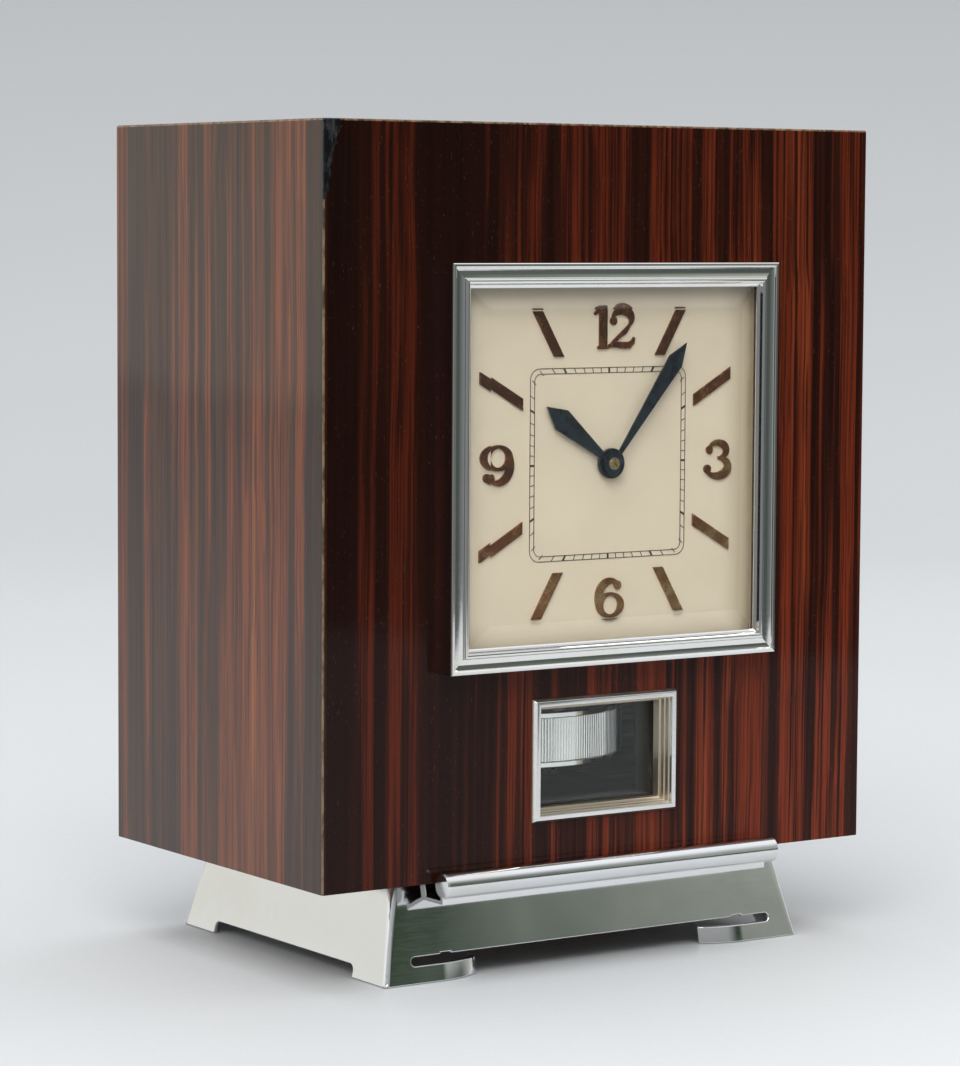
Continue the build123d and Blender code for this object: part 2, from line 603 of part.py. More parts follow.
tooth_ring = []
for k in range(15):
    a = math.radians(24 * k + 6)
    tooth_ring.append((ESCAPE[0] + 6.6 * math.cos(a), ESCAPE[1] + 6.6 * math.sin(a)))
    a = math.radians(24 * k + 15)
    tooth_ring.append((ESCAPE[0] + 8.8 * math.cos(a), ESCAPE[1] + 8.8 * math.sin(a)))
    a = math.radians(24 * k + 18)
    tooth_ring.append((ESCAPE[0] + 9.0 * math.cos(a), ESCAPE[1] + 9.0 * math.sin(a)))
    a = math.radians(24 * k + 16)
    tooth_ring.append((ESCAPE[0] + 6.6 * math.cos(a), ESCAPE[1] + 6.6 * math.sin(a)))
escape_wheel = plate_y(tooth_ring, -32, -30.8) - rod_y(*ESCAPE, 1.0, -35, -25)
escape_wheel = spokes(escape_wheel, *ESCAPE, -32, -30.8, 2.4, 5.4, 5, 1.1)
save("escape_wheel", escape_wheel)

barrel_phase = next_phase(pinion_phase, 12, 90.0, 96)
barrel = gear(96, 0.55, barrel_phase, *BARREL, -24.5, -22)
barrel += rod_y(*BARREL, 24.0, -40, -24)
barrel -= rod_y(*BARREL, 22.8, -38.6, -25.0)
barrel -= rod_y(*BARREL, 2.0 + RUN, -50, -10)
save("mainspring_barrel", barrel)

spring_line = []
for k in range(0, 361):
    a = math.radians(k * 8)
    r = 21.8 - 12.6 * k / 360
    spring_line.append((r * math.cos(a), r * math.sin(a)))
coil = band(spring_line, [0.5] * len(spring_line))
spring_turns = plate_y([(BARREL[0] + x, BARREL[1] + z) for x, z in coil], -37.5, -26.0)
save("mainspring", spring_turns)

pallet = tube_y(*PALLET, 2.6, 1.0, -32, -30.8)
anchor = [(-1.3, -1.4), (1.3, -1.4), (8.0, 3.0), (8.4, 6.0), (7.1, 5.7), (6.5, 4.2), (0, 2.6),
          (-6.5, 4.2), (-7.1, 5.7), (-8.4, 6.0), (-8.0, 3.0)]
pallet += plate_y([(x, PALLET[1] + z) for x, z in anchor], -32, -30.8)
pallet -= rod_y(*PALLET, 1.0, -35, -25)
pallet += rod_y(*PALLET, 1.0, -45.8, -6.9)
pallet += rod_y(*PALLET, 2.6, -8.9, -7.1)
pallet += plate_y([(-1.0, PALLET[1]), (1.0, PALLET[1]), (1.0, 106.5), (2.4, 104.5), (2.4, 102.0),
                   (1.3, 102.0), (1.3, 104.2), (-1.3, 104.2), (-1.3, 102.0), (-2.4, 102.0),
                   (-2.4, 104.5), (-1.0, 106.5)], -8.9, -7.1)
save("pallet_fork", pallet)

# ---- motion work and setting arbor -----------------------------------------------------------------
diagonal = -45.0
cannon_phase = 0.0
cannon = gear(12, 0.5, cannon_phase, *CENTRE, -50.5, -47)
cannon += rod_y(*CENTRE, 2.0, -66.8, -48)
cannon -= rod_y(*CENTRE, 1.5, -70, -40)
save("cannon_pinion", cannon)

motion_phase = next_phase(cannon_phase, 12, diagonal, 36)
motion = gear(36, 0.5, motion_phase, *MOTION, -50, -48)
motion += gear(10, 0.48, 0.0, *MOTION, -54.6, -49.5)
motion -= rod_y(*MOTION, 1.0 + RUN, -60, -40)
save("motion_wheel", motion)

hour_phase = next_phase(0.0, 10, 180.0 + diagonal, 40)
hour_wheel = gear(40, 0.48, hour_phase, *CENTRE, -54, -52.4)
hour_wheel += rod_y(*CENTRE, 2.7, -65.6, -53)
hour_wheel -= rod_y(*CENTRE, 2.0 + RUN, -70, -40)
save("hour_wheel", hour_wheel)

setting_phase = next_phase(motion_phase, 36, diagonal, 12)
setting = gear(12, 0.5, setting_phase, *SETTING, -50, -47.6) + rod_y(*SETTING, 1.25, -49, 46)
save("setting_arbor", setting)
knob = rod_y(*SETTING, 5.0, 42, 50)
for k in range(12):
    a = math.radians(30 * k)
    knob -= rod_y(SETTING[0] + 5.3 * math.cos(a), SETTING[1] + 5.3 * math.sin(a), 0.8, 41, 51)
knob -= rod_y(*SETTING, 1.25, 40, 46)
save("setting_knob", knob)

# ---- hands -----------------------------------------------------------------------------------------
def turned(points, clock_angle):
    a = math.radians(clock_angle)
    out = []
    for across, along in points:
        x = along * math.sin(a) + across * math.cos(a)
        z = along * math.cos(a) - across * math.sin(a)
        out.append((x, DIAL_Z + z))
    return out


hour_hand = plate_y(turned([(-0.5, 0), (0.5, 0), (3.6, 23.4), (0, 30.4), (-3.6, 23.4)], HOUR_AT), -65.4, -64.7)
hour_hand += rod_y(*CENTRE, 4.7, -65.6, -64.4)
hour_hand -= rod_y(*CENTRE, 2.7, -70, -60)
save("hour_hand", hour_hand)

minute_hand = plate_y(turned([(-0.45, 0), (0.45, 0), (2.9, 39.2), (0, 46.2), (-2.9, 39.2)], MINUTE_AT), -66.6, -66.0)
minute_hand += rod_y(*CENTRE, 3.8, -66.8, -65.8)
minute_hand -= rod_y(*CENTRE, 2.0, -70, -60)
save("minute_hand", minute_hand)

# ---- winding unit: arbor, ratchet, expansion drum and click ----------------------------------------
winding = rod_y(*BARREL, 2.0, -45.8, 53.5)
save("barrel_arbor", winding)
ratchet_ring = []
for k in range(30):
    a = math.radians(12 * k)
    ratchet_ring.append((BARREL[0] + 12.0 * math.cos(a), BARREL[1] + 12.0 * math.sin(a)))
    a = math.radians(12 * k + 1.2)
    ratchet_ring.append((BARREL[0] + 10.7 * math.cos(a), BARREL[1] + 10.7 * math.sin(a)))
ratchet = plate_y(ratchet_ring, -6, -4) - rod_y(*BARREL, 2.0, -10, 0)
save("ratchet_wheel", ratchet)

drum_outline = [(0, 8), (38, 8), (42, 12), (42, 46), (38, 50), (0, 50)]
drum_face = make_face(Polyline(*[Vector(r, y, 0) for r, y in drum_outline], close=True))
drum = revolve(drum_face, Axis.Y, 360)
hollow_outline = [(3.4, 10), (37.2, 10), (40, 12.8), (40, 45.2), (37.2, 48), (3.4, 48)]
hollow_face = make_face(Polyline(*[Vector(r, y, 0) for r, y in hollow_outline], close=True))
drum -= revolve(hollow_face, Axis.Y, 360)
drum = Pos(BARREL[0], 0, BARREL[1]) * drum
drum -= rod_y(*BARREL, 2.0, 0, 60)
save("expansion_drum", drum)

tip_angle = math.radians(-70)
tip = (BARREL[0] + 12.35 * math.cos(tip_angle), BARREL[1] + 12.35 * math.sin(tip_angle))
pawl = plate_y([(CLICK[0], CLICK[1] + 1.6), tip, (tip[0] + 0.4, tip[1] - 1.8), (CLICK[0], CLICK[1] - 2.2)], -6, -4)
pawl += rod_y(*CLICK, 2.8, -6, -4)
pawl -= rod_y(*CLICK, 1.2 + RUN, -10, 0)
save("click_pawl", pawl)

# ---- torsion balance -------------------------------------------------------------------------------
RING_LOW, RING_HIGH = 59.2, 76.8
ring = rod_z(0, 0, RING_R, RING_LOW, RING_HIGH) - rod_z(0, 0, RING_R - 3.0, RING_LOW - 1, RING_HIGH + 1)
ring -= rod_z(0, 0, RING_R + 1, RING_LOW + 1.8, RING_HIGH - 1.8) - rod_z(0, 0, RING_R - 0.5, 50, 80)
save("balance_ring", ring)

arms = rod_z(0, 0, 7.0, 60.0, 63.0)
for k in range(3):
    arm = Rot(0, 0, 120 * k + 30) * Pos((RING_R - 3) / 2, 0, 61.5) * Box(RING_R - 3, 6, 3)
    arms += arm
arms = arms & rod_z(0, 0, RING_R - 3.02, 50, 70)
arms -= rod_z(0, 0, 2.0, 50, 70)
save("balance_arms", arms)

staff = rod_z(0, 0, 2.0, 52.3, 100.0) + rod_z(0, 0, 5.0, 52.3, 54.0)
staff += rod_z(0, 0, 10.0, 97.0, 98.6) + rod_z(0, -8.0, 0.8, 98.5, 101.6)
staff -= rod_z(0, 0, 0.4, 98.0, 101)
save("balance_staff", staff)
save("suspension_wire", rod_z(0, 0, 0.4, 98.0, 155.0))

# ---- balance lock ----------------------------------------------------------------------------------
lever = rod_z(0, 0, 9.0, 43.3, 45.0) + block(-3, 3, 5, 41, 43.3, 45.0) + rod_z(0, 41, 4.0, 43.3, 46.5)
lever -= rod_z(0, 0, 2.5 + RUN, 40, 50)
save("lock_lever", lever)
lock = rod_z(0, 0, 12.0, 48.6, 50.2) + rod_z(0, 0, 4.5, 45.3, 50.2)
lock -= rod_z(0, 0, 2.5 + RUN, 40, 60)
save("lock_plate", lock)
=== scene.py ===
import bpy
import bmesh
import json
import math
from mathutils import Matrix, Vector


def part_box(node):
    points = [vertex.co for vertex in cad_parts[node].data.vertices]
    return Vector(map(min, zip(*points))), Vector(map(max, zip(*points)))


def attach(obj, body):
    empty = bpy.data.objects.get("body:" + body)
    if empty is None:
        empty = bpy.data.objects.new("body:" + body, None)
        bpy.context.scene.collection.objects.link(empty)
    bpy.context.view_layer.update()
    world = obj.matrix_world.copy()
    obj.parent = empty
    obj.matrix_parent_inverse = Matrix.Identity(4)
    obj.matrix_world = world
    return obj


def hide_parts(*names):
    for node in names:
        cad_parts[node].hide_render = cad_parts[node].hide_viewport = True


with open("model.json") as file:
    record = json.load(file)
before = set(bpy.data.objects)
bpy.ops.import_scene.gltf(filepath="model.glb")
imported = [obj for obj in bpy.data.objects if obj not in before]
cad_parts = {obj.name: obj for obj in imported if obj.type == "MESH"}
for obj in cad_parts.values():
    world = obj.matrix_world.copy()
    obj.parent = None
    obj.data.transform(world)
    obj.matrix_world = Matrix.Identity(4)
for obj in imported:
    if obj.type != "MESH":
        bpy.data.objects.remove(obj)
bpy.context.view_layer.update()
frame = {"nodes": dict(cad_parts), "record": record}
nodes = frame["nodes"]

# places read from the frame
case_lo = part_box("case_left_side")[0]
case_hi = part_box("case_right_side")[1]
HALF_W = case_hi.x
FRONT = case_lo.y
TOP = case_hi.z
CASE_FLOOR = case_lo.z
dial_lo, dial_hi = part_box("dial_plate")
DIAL_Z = (dial_lo.z + dial_hi.z) / 2
DIAL_HALF = (dial_hi.x - dial_lo.x) / 2

# veneer of the case
SKIN = 0.0013             # depth within which a face counts as veneered
HIDDEN = 0.0015           # anything deeper is the near-black inside
WORN = 0.00045            # width of a rubbed edge
CHIP_DROP = 0.0235        # the knocked corner, down from the top
CHIP_TAPER = 0.0240       # where its slanted side would start, just below
CHIP_FROM = 0.0004        # its width there
CHIP_TO = 0.0052          # and at the top


# ---------------------------------------------------------------- material building
class Shade:
    """One material, with short calls to add and join its nodes."""

    def __init__(self, name):
        self.mat = bpy.data.materials.new(name)
        self.mat.use_nodes = True
        self.tree = self.mat.node_tree
        self.tree.nodes.clear()
        self.out = self.tree.nodes.new("ShaderNodeOutputMaterial")
        self.skin = self.tree.nodes.new("ShaderNodeBsdfPrincipled")
        self.tree.links.new(self.skin.outputs[0], self.out.inputs[0])
        self.place = self.tree.nodes.new("ShaderNodeTexCoord").outputs["Object"]

    def add(self, kind, **settings):
        node = self.tree.nodes.new("ShaderNode" + kind)
        for key, value in settings.items():
            setattr(node, key, value)
        return node

    def join(self, source, target):
        self.tree.links.new(source, target)

    def put(self, socket, value):
        if isinstance(value, bpy.types.NodeSocket):
            self.join(value, socket)
        else:
            socket.default_value = value

    def stretch(self, scale, offset=(0, 0, 0), source=None):
        node = self.add("Mapping")
        node.inputs["Location"].default_value = offset
        node.inputs["Scale"].default_value = scale
        self.join(source or self.place, node.inputs["Vector"])
        return node.outputs[0]

    def noise(self, vector, detail, rough=0.5):
        node = self.add("TexNoise")
        self.join(vector, node.inputs["Vector"])
        node.inputs["Scale"].default_value = 1.0
        node.inputs["Detail"].default_value = detail
        node.inputs["Roughness"].default_value = rough
        return node.outputs[0]

    def ramp(self, source, stops, smooth=False):
        node = self.add("ValToRGB")
        if smooth:
            node.color_ramp.interpolation = "EASE"
        bar = node.color_ramp.elements
        while len(bar) < len(stops):
            bar.new(0.5)
        for element, (at, colour) in zip(bar, stops):
            element.position = at
            if not isinstance(colour, (tuple, list)):
                colour = (colour, colour, colour)
            element.color = (*colour, 1)
        self.join(source, node.inputs[0])
        return node.outputs[0]

    def math(self, operation, first, second=0.0):
        node = self.add("Math", operation=operation)
        self.put(node.inputs[0], first)
        self.put(node.inputs[1], second)
        return node.outputs[0]

    def mix(self, share, first, second, blend="MIX"):
        node = self.add("Mix", data_type="RGBA", blend_type=blend)
        self.put(node.inputs[0], share)
        for socket, value in ((node.inputs[6], first), (node.inputs[7], second)):
            if isinstance(value, (tuple, list)) and len(value) == 3:
                value = (*value, 1)
            self.put(socket, value)
        return node.outputs[2]

    def axes(self):
        node = self.add("SeparateXYZ")
        self.join(self.place, node.inputs[0])
        return node.outputs

    def spread(self, source, low, high, to_low=0.0, to_high=1.0):
        """Carry source from low..high to to_low..to_high, and hold it there outside."""
        node = self.add("MapRange")
        node.inputs["From Min"].default_value = low
        node.inputs["From Max"].default_value = high
        node.inputs["To Min"].default_value = to_low
        node.inputs["To Max"].default_value = to_high
        self.join(source, node.inputs["Value"])
        return node.outputs[0]

    def bump(self, height, distance, strength=1.0, after=None):
        node = self.add("Bump")
        node.inputs["Strength"].default_value = strength
        node.inputs["Distance"].default_value = distance
        self.join(height, node.inputs["Height"])
        if after is not None:
            self.join(after, node.inputs["Normal"])
        return node.outputs[0]

    def set(self, **values):
        names = {
            "colour": "Base Color", "metal": "Metallic", "rough": "Roughness", "ior": "IOR",
            "coat": "Coat Weight", "coat_rough": "Coat Roughness", "normal": "Normal",
            "specular": "Specular IOR Level", "clear": "Transmission Weight", "coat_normal": "Coat Normal",
        }
        for key, value in values.items():
            if isinstance(value, (tuple, list)) and len(value) == 3:
                value = (*value, 1)
            self.put(self.skin.inputs[names[key]], value)
        return self.mat


def beyond(s, coordinate, limit):
    """1 where a coordinate's size is more than limit."""
    return s.math("GREATER_THAN", s.math("ABSOLUTE", coordinate), limit)


def within(s, coordinate, limit):
    """1 where a coordinate's size is less than limit."""
    return s.math("LESS_THAN", s.math("ABSOLUTE", coordinate), limit)


def swayed(s, seed):
    """The object's own place, pushed a little to and fro so that the grain isn't ruler-straight."""
    sway = s.noise(s.stretch((7, 7, 7), (seed, 0, 0)), 2.0)
    ripple = s.noise(s.stretch((38, 38, 30), (0, seed, 0)), 2.0)
    sway = s.math("ADD", sway, s.math("MULTIPLY", ripple, 0.30))
    push = s.add("CombineXYZ")
    for k in range(3):
        s.join(sway, push.inputs[k])
    shift = s.add("VectorMath", operation="MULTIPLY_ADD")
    furthest = 0.003
    shift.inputs[1].default_value = (furthest, furthest, furthest)
    s.join(push.outputs[0], shift.inputs[0])
    s.join(s.place, shift.inputs[2])
    return shift.outputs[0]


def knocked_corner(s, x, y, z):
    """1 on the front where the top left corner was knocked and filled."""
    width = s.spread(z, TOP - CHIP_TAPER, TOP, CHIP_FROM, CHIP_TO)
    ragged = s.noise(s.stretch((240, 240, 190)), 4.0, 0.7)
    ragged = s.math("MULTIPLY", s.math("SUBTRACT", ragged, 0.5), 0.0060)
    inward = s.math("SUBTRACT", s.math("ADD", x, HALF_W), s.math("ADD", width, ragged))
    knock = s.math("MULTIPLY", s.math("LESS_THAN", inward, 0.0), s.math("GREATER_THAN", z, TOP - CHIP_DROP))
    return s.math("MULTIPLY", knock, s.math("LESS_THAN", y, FRONT + 0.0007))


def ebony(name, across, seed, coat, fine=1.0, ink=0.90):
    """Lacquered Macassar ebony: red-brown bands, black lines along the grain and fine pores."""
    s = Shade(name)
    place = swayed(s, seed)

    def grain(over, along, offset, detail, rough=0.5):
        scale = tuple(over if a else along for a in across)
        return s.noise(s.stretch(scale, offset, place), detail, rough)

    zones = grain(24.0, 0.8, (seed, seed, 4), 1.0)
    bands = grain(150.0 * fine, 1.8, (seed, seed, seed), 2.0, 0.6)
    lines = grain(520.0 * fine, 3.5, (seed, 3, 1), 2.0, 0.6)
    hairs = grain(1700.0, 14.0, (seed, 5, 2), 2.0, 0.65)
    pores = grain(3000.0, 620.0, (seed, 8, 3), 1.0)
    x, y, z = s.axes()

    # bands, paler and less red on the left face
    left_face = s.math("LESS_THAN", x, SKIN - HALF_W)
    level = s.math("ADD", bands, s.math("MULTIPLY", s.math("SUBTRACT", zones, 0.5), 0.22))
    level = s.math("ADD", level, s.math("MULTIPLY", x, 0.55))
    level = s.math("ADD", level, s.math("MULTIPLY", left_face, 0.085))
    tone = s.ramp(level, [
        (0.36, (0.0150, 0.0032, 0.0017)), (0.44, (0.0260, 0.0056, 0.0026)), (0.49, (0.0440, 0.0090, 0.0040)),
        (0.54, (0.1300, 0.0200, 0.0070)), (0.62, (0.0920, 0.0145, 0.0052)), (0.70, (0.1700, 0.0320, 0.0105))])
    paler_left_tone = s.mix(1.0, tone, (1.45, 2.10, 1.50), "MULTIPLY")
    paler_left_tone = s.mix(1.0, paler_left_tone, (0.0130, 0.0075, 0.0030), "ADD")
    tone = s.mix(left_face, tone, paler_left_tone)

    # the front's leaf is darker to the left and above
    sideways = s.spread(x, -HALF_W, HALF_W)
    sideways = s.ramp(sideways, [(0.0, 0.58), (0.26, 0.68), (0.42, 1.04), (1.0, 1.32)], True)
    upwards = s.ramp(s.spread(z, CASE_FLOOR, TOP), [(0.0, 1.28), (0.45, 1.0), (1.0, 0.78)])
    leaf = s.mix(1.0, s.mix(1.0, tone, sideways, "MULTIPLY"), upwards, "MULTIPLY")
    tone = s.mix(s.math("LESS_THAN", y, FRONT + SKIN), tone, leaf)

    # black lines, hairs and pores
    inked = s.ramp(lines, [(0.38, ink), (0.47, 0.39 * ink), (0.52, 0.0)])
    tone = s.mix(inked, tone, (0.0105, 0.0024, 0.0014))
    tone = s.mix(s.ramp(hairs, [(0.40, 0.60), (0.54, 0.0)]), tone, (0.0130, 0.0032, 0.0019))
    tone = s.mix(s.ramp(pores, [(0.70, 0.0), (0.78, 0.35)]), tone, (0.1500, 0.0850, 0.0520))

    # near-black inside, worn edges and the filled corner
    inside = s.math("MULTIPLY", within(s, x, HALF_W - HIDDEN), within(s, y, -FRONT - HIDDEN))
    inside = s.math("MULTIPLY", inside, s.math("LESS_THAN", z, TOP - HIDDEN))
    inside = s.math("MULTIPLY", inside, s.math("GREATER_THAN", z, CASE_FLOOR + HIDDEN))
    tone = s.mix(inside, tone, (0.0060, 0.0045, 0.0040))
    faces = s.math("ADD", beyond(s, x, HALF_W - WORN), beyond(s, y, -FRONT - WORN))
    faces = s.math("ADD", faces, s.math("GREATER_THAN", z, TOP - WORN))
    rub = s.noise(s.stretch((420, 420, 130)), 4.0, 0.75)
    edge = s.math("MULTIPLY", s.math("GREATER_THAN", faces, 1.5), s.ramp(rub, [(0.40, 0.15), (0.58, 0.85)]))
    tone = s.mix(edge, tone, (0.23, 0.15, 0.085))
    # the chip's dark filler, with grey patches of painted highlight
    filler_and_highlight = s.ramp(rub, [(0.46, (0.0050, 0.0052, 0.0058)), (0.62, (0.0370, 0.0390, 0.0415))])
    tone = s.mix(knocked_corner(s, x, y, z), tone, filler_and_highlight)

    smear = s.noise(s.stretch((14, 14, 14), (seed, 1, 1)), 4.0, 0.6)
    lacquer = s.noise(s.stretch((30, 30, 30)), 2.0)
    s.set(colour=tone, rough=s.ramp(smear, [(0.3, 0.30), (0.7, 0.46)]), specular=0.04, coat=coat,
          coat_rough=0.07, normal=s.bump(hairs, 0.00003, 0.4), coat_normal=s.bump(lacquer, 0.0006, 0.10))
    return s.mat


def bare_wood(name):
    """Unfinished hardwood of the frame and the glue blocks."""
    s = Shade(name)
    rings = s.noise(s.stretch((20, 260, 260)), 4.0, 0.6)
    fibre = s.noise(s.stretch((60, 1500, 1500)), 2.0)
    tone = s.ramp(rings, [
        (0.3, (0.15, 0.075, 0.035)), (0.55, (0.27, 0.15, 0.075)), (0.75, (0.36, 0.21, 0.11))])
    tone = s.mix(s.ramp(fibre, [(0.4, 0.0), (0.7, 0.5)]), tone, (0.10, 0.05, 0.025))
    s.set(colour=tone, rough=s.ramp(fibre, [(0.3, 0.6), (0.7, 0.8)]), normal=s.bump(fibre, 0.0001, 0.4))
    return s.mat


def plated(name, tone, rough_low, rough_high, wave=0.0, inner=None):
    """Polished plating: faint haze, wiping marks and slight waviness; duller deeper than inner."""
    s = Shade(name)
    cloud = s.noise(s.stretch((22, 22, 22)), 5.0, 0.65)
    wipe = s.noise(s.stretch((120, 1400, 1400)), 3.0, 0.7)
    dust = s.noise(s.stretch((2600, 2600, 2600)), 2.0, 0.6)
    colour = s.mix(s.ramp(cloud, [(0.48, 0.0), (0.80, 0.42)]), tone, (0.72, 0.64, 0.55))
    colour = s.mix(s.ramp(dust, [(0.70, 0.0), (0.80, 0.45)]), colour, (0.30, 0.27, 0.24))
    both = s.math("ADD", s.math("MULTIPLY", cloud, 0.6), s.math("MULTIPLY", wipe, 0.4))
    rough = s.ramp(both, [(0.36, rough_low), (0.66, rough_high)])
    normal = s.bump(wipe, 0.000004, 0.2)
    if inner:
        deep = s.math("GREATER_THAN", s.axes()[1], FRONT - inner)
        colour = s.mix(deep, colour, (0.56, 0.49, 0.39))
        rough = s.math("ADD", rough, s.math("MULTIPLY", deep, 0.16))
    if wave:
        normal = s.bump(s.noise(s.stretch((30, 30, 30)), 1.0), wave, 0.2, normal)
    s.set(colour=colour, metal=1.0, rough=rough, normal=normal)
    return s.mat


def turned_metal(name, low, high, rough_low, rough_high):
    """Brass or steel with fine machining lines and stains."""
    s = Shade(name)
    lines = s.noise(s.stretch((40, 900, 900)), 3.0, 0.7)
    stain = s.noise(s.stretch((60, 60, 60)), 4.0, 0.6)
    both = s.math("ADD", s.math("MULTIPLY", stain, 0.7), s.math("MULTIPLY", lines, 0.3))
    s.set(colour=s.ramp(both, [(0.3, low), (0.7, high)]), metal=1.0,
          rough=s.ramp(lines, [(0.3, rough_low), (0.7, rough_high)]), normal=s.bump(lines, 0.00003, 0.3))
    return s.mat


def bushed(name):
    """Brass arbor with painted shade, a dark disc, for its drilled centre."""
    s = Shade(name)
    lines = s.noise(s.stretch((900, 900, 900)), 3.0, 0.7)
    x, _, z = s.axes()
    up = s.math("SUBTRACT", z, DIAL_Z)
    off = s.math("ADD", s.math("MULTIPLY", x, x), s.math("MULTIPLY", up, up))
    tone = s.ramp(lines, [(0.3, (0.55, 0.36, 0.13)), (0.7, (0.85, 0.62, 0.28))])
    drilled = 0.0004
    # painted shade: a near-black disc stands in for the inside of the drilled hole
    tone = s.mix(s.math("LESS_THAN", off, drilled ** 2), tone, (0.02, 0.012, 0.008))
    s.set(colour=tone, metal=1.0, rough=s.ramp(lines, [(0.3, 0.18), (0.7, 0.36)]),
          normal=s.bump(lines, 0.00003, 0.3))
    return s.mat


def paint(name, low, high, rough_low, rough_high, coarse=60.0):
    """Satin paint or ink: patches of tone over a slight orange peel."""
    s = Shade(name)
    patch = s.noise(s.stretch((coarse, coarse, coarse)), 4.0, 0.6)
    peel = s.noise(s.stretch((1300, 1300, 1300)), 2.0)
    s.set(colour=s.ramp(patch, [(0.35, low), (0.68, high)]),
          rough=s.ramp(patch, [(0.3, rough_low), (0.7, rough_high)]), normal=s.bump(peel, 0.00003, 0.25))
    return s.mat


def dial_enamel(name):
    """Cream enamel, darker towards the bezel: browning with painted shade most of all at the right and below,
    and painted shadow of the bezel all round.
    """
    s = Shade(name)
    x, _, z = s.axes()
    right = s.math("DIVIDE", x, DIAL_HALF)
    up = s.math("DIVIDE", s.math("SUBTRACT", z, DIAL_Z), DIAL_HALF)
    side = s.math("MAXIMUM", right, s.math("MULTIPLY", up, -0.93))
    rim = s.math("MAXIMUM", s.math("MULTIPLY", up, 1.02), s.math("MULTIPLY", up, -0.95))
    rim = s.math("MAXIMUM", rim, s.math("ABSOLUTE", right))
    drift = s.noise(s.stretch((45, 45, 45)), 4.0, 0.6)
    side = s.math("ADD", side, s.math("MULTIPLY", s.math("SUBTRACT", drift, 0.5), 0.10))
    speck = s.noise(s.stretch((2400, 2400, 2400)), 2.0, 0.7)
    cream = s.ramp(drift, [(0.3, (0.745, 0.632, 0.490)), (0.7, (0.785, 0.668, 0.523))])
    # browning with painted shade, darkest at the right and below
    cream = s.mix(s.ramp(side, [(0.77, 0.0), (0.94, 0.34), (1.0, 0.80)], True), cream, (0.300, 0.215, 0.120))
    # painted shadow of the bezel lip near every edge
    cream = s.mix(s.ramp(rim, [(0.87, 0.0), (1.0, 0.55)], True), cream, (0.330, 0.250, 0.150))
    cream = s.mix(s.ramp(speck, [(0.70, 0.0), (0.78, 0.30)]), cream, (0.34, 0.25, 0.15))
    fine = s.noise(s.stretch((3000, 3000, 3000)), 1.0)
    s.set(colour=cream, rough=s.ramp(drift, [(0.3, 0.42), (0.7, 0.55)]), specular=0.4,
          normal=s.bump(fine, 0.00001, 0.2))
    return s.mat


def lustre(name):
    """Copper-brown relief of the figures, lighter in patches, with painted light making it lighter towards
    the lower right.
    """
    s = Shade(name)
    patch = s.noise(s.stretch((230, 230, 230)), 3.0, 0.6)
    small = s.noise(s.stretch((1500, 1500, 1500)), 2.0)
    x, _, z = s.axes()
    up = s.math("SUBTRACT", z, DIAL_Z)
    # painted light: darker at the upper left of the dial, lighter and more olive at the lower right
    painted_light_slope = s.math("MULTIPLY", s.math("SUBTRACT", s.math("MULTIPLY", x, 0.6), up), 3.6)
    both = s.math("ADD", patch, painted_light_slope)
    tone = s.ramp(both, [(0.30, (0.105, 0.036, 0.022)), (0.50, (0.190, 0.070, 0.032)),
                         (0.68, (0.230, 0.128, 0.058)), (0.95, (0.260, 0.210, 0.120))])
    tone = s.mix(s.ramp(small, [(0.50, 0.0), (0.80, 0.35)]), tone, (0.46, 0.31, 0.16))
    tone = s.mix(1.0, tone, (1.45, 1.40, 1.35), "MULTIPLY")
    s.set(colour=tone, metal=0.9, rough=s.ramp(patch, [(0.3, 0.18), (0.7, 0.32)]), coat=0.4, coat_rough=0.12,
          normal=s.bump(small, 0.00004, 0.25))
    return s.mat


def plate_glass(name, tint, dirt, index):
    """Clear glass that lets the lamps through to what is behind it."""
    s = Shade(name)
    film = s.noise(s.stretch((70, 70, 70)), 4.0, 0.65)
    s.set(colour=tint, clear=1.0, ior=index, rough=s.ramp(film, [(0.45, 0.0), (0.85, dirt)]))
    path = s.add("LightPath")
    open_ = s.add("BsdfTransparent")
    open_.inputs[0].default_value = (0.93, 0.94, 0.93, 1)
    choose = s.add("MixShader")
    s.join(path.outputs["Is Shadow Ray"], choose.inputs[0])
    s.join(s.skin.outputs[0], choose.inputs[1])
    s.join(open_.outputs[0], choose.inputs[2])
    s.join(choose.outputs[0], s.out.inputs[0])
    return s.mat


